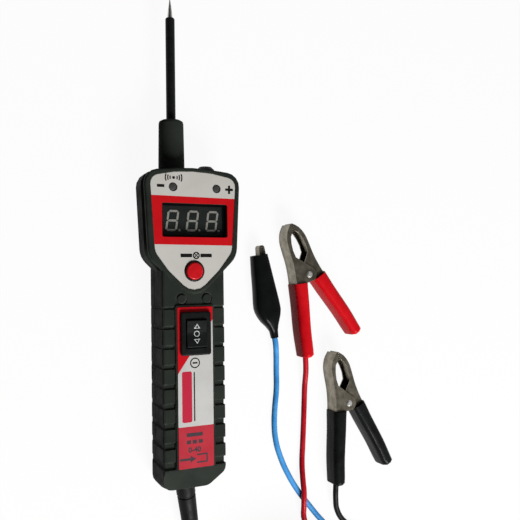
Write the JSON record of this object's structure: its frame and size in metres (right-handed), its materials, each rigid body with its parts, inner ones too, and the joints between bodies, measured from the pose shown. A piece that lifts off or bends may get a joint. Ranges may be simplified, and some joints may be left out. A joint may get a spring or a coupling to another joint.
{
  "type": "handheld circuit tester",
  "caption": "Handheld low-voltage circuit tester with a digital display, probe tip, lamp, rocker switch and grooved handle; its cable splits into leads to battery clamps and a crocodile clip.",
  "frame": {"origin": "Under the middle of the tester's length and width, on the plane of its back, which is the surface that it lies on. The middle is taken over the case and the probe, without the cable, the leads and the clamps.", "axes": "+Y runs from the cable end to the probe tip, +Z out of the display, and +X to the right seen from the display with the probe pointing up."},
  "size_m": [0.1519, 0.3852, 0.0289],
  "materials": {
    "case": "dark charcoal moulded plastic with a fine grain",
    "black_plastic": "satin black plastic",
    "gloss_black": "glossy black plastic",
    "panel_grey": "printed film, light warm grey with a red band",
    "label_film": "printed film, red and light grey",
    "red_button": "glossy red plastic",
    "window": "smoked clear plastic pane",
    "display_black": "dark resin face",
    "segment_white": "pale unlit segments",
    "led_resin": "unlit grey resin",
    "lamp_resin": "clear resin",
    "steel": "plated steel",
    "dull_nickel": "nickel plate dulled by handling",
    "brass": "turned brass",
    "laminate": "green board laminate",
    "relay_blue": "blue plastic box",
    "cable_black": "soft black sheath",
    "lead_blue": "soft blue sheath",
    "lead_red": "soft red sheath",
    "vinyl_red": "glossy red dipped vinyl",
    "vinyl_black": "glossy black dipped vinyl"
  },
  "bodies": {
    "tester": {"front_cover": "case", "rear_cover": "case", "case_screws": "steel", "face_panel": "panel_grey", "display_window": "window", "display_module": "display_black", "display_segments": "segment_white", "led_minus": "led_resin", "led_plus": "led_resin", "button_ring": "gloss_black", "button_switch": "black_plastic", "rocker_housing": "black_plastic", "handle_label": "label_film", "circuit_board": "laminate", "buzzer": "black_plastic", "power_relay": "relay_blue", "lamp_light": "lamp_resin", "lamp_ring": "black_plastic", "nose_sleeve": "case", "probe_socket": "brass", "probe_rod": "steel", "probe_insulation": "black_plastic", "strain_relief": "cable_black", "main_cable": "cable_black", "cable_coil": "cable_black", "coil_tie": "black_plastic", "main_cable_end": "cable_black", "cable_split": "cable_black", "blue_lead": "lead_blue", "red_lead": "lead_red", "black_lead": "cable_black", "red_fixed_jaw": "dull_nickel", "red_rivet": "steel", "red_spring": "steel", "red_fixed_grip": "vinyl_red", "black_fixed_jaw": "dull_nickel", "black_rivet": "steel", "black_spring": "steel", "black_fixed_grip": "vinyl_black", "clip_fixed_jaw": "dull_nickel", "clip_pin": "steel", "clip_spring": "steel", "clip_boot": "vinyl_black"},
    "light_button": {"light_button": "red_button", "switch_plunger": "segment_white"},
    "rocker": {"rocker": "black_plastic"},
    "red_jaw": {"red_moving_jaw": "dull_nickel", "red_moving_grip": "vinyl_red"},
    "black_jaw": {"black_moving_jaw": "dull_nickel", "black_moving_grip": "vinyl_black"},
    "clip_jaw": {"clip_moving_jaw": "dull_nickel"}
  },
  "joints": [
    {"name": "light_button_press", "type": "slide", "parent": "tester", "child": "light_button", "axis": [0, 0, -1], "range_m": [0, 0.0008], "stiffness_N_per_m": 800, "springref_m": -0.0005},
    {"name": "rocker_tilt", "type": "hinge", "parent": "tester", "child": "rocker", "pos_m": [0, -0.0456, 0.0254], "axis": [1, 0, 0], "range_deg": [-8, 8], "stiffness_Nm_per_rad": 0.05},
    {"name": "red_clamp_open", "type": "hinge", "parent": "tester", "child": "red_jaw", "pos_m": [0.071, -0.018, 0.0063], "axis": [0, 0, -1], "range_deg": [0, 29], "stiffness_Nm_per_rad": 0.3, "springref_deg": -28.65, "deforming": ["red_spring"]},
    {"name": "black_clamp_open", "type": "hinge", "parent": "tester", "child": "black_jaw", "pos_m": [0.095, -0.09, 0.0063], "axis": [0, 0, -1], "range_deg": [0, 29], "stiffness_Nm_per_rad": 0.3, "springref_deg": -28.65, "deforming": ["black_spring"]},
    {"name": "clip_open", "type": "hinge", "parent": "tester", "child": "clip_jaw", "pos_m": [0.0476, -0.0221, 0.0047], "axis": [0, 0, -1], "range_deg": [0, 22], "stiffness_Nm_per_rad": 0.05, "springref_deg": -22.92, "deforming": ["clip_spring", "clip_boot"]}
  ]
}
